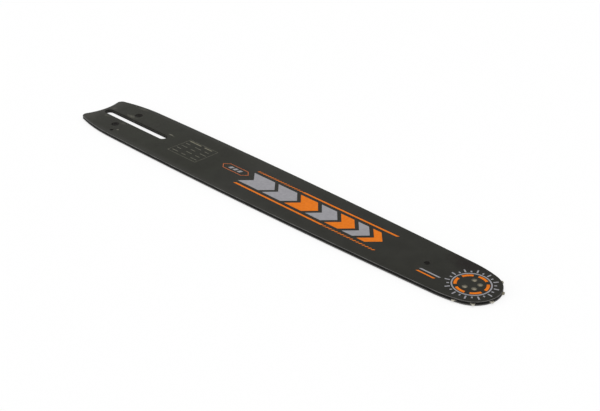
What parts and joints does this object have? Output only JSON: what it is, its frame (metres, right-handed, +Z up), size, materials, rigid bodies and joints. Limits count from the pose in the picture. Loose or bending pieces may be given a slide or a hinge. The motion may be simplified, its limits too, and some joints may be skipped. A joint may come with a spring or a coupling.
{
  "type": "chainsaw guide bar",
  "caption": "Flat laminated guide bar with an open chain groove along both rails, a stud slot at the tail and a toothed sprocket turning on rollers in the nose.",
  "frame": {"origin": "middle of the stud slot, on the lower face", "axes": "+X along the bar to the nose, +Y to the far rail, +Z up through the thickness"},
  "size_m": [0.4467, 0.0596, 0.0033],
  "materials": {
    "side_plate": "satin black",
    "core": "dark oiled steel",
    "sprocket": "hardened steel",
    "bearing": "ground steel",
    "rivet": "bare steel"
  },
  "bodies": {
    "bar": {"upper_side_plate": "side_plate", "lower_side_plate": "side_plate", "core_plate": "core", "bearing_inner_race": "bearing", "nose_rivets": "rivet"},
    "sprocket": {"nose_sprocket": "sprocket"},
    "roller_ring": {"roller_01": "bearing", "roller_02": "bearing", "roller_03": "bearing", "roller_04": "bearing", "roller_05": "bearing", "roller_06": "bearing", "roller_07": "bearing", "roller_08": "bearing", "roller_09": "bearing", "roller_10": "bearing", "roller_11": "bearing", "roller_12": "bearing", "roller_13": "bearing", "roller_14": "bearing", "roller_15": "bearing", "roller_16": "bearing", "roller_17": "bearing", "roller_18": "bearing", "roller_19": "bearing", "roller_20": "bearing"}
  },
  "joints": [
    {"name": "nose_spin", "type": "hinge", "parent": "bar", "child": "sprocket", "pos_m": [0.373, 0, 0.00165], "axis": [0, 0, 1], "continuous": true},
    {"name": "roller_orbit", "type": "hinge", "parent": "bar", "child": "roller_ring", "pos_m": [0.373, 0, 0.00165], "axis": [0, 0, 1], "continuous": true}
  ],
  "couplings": [
    {"joint": "roller_orbit", "follows": "nose_spin", "ratio": 0.57661}
  ]
}
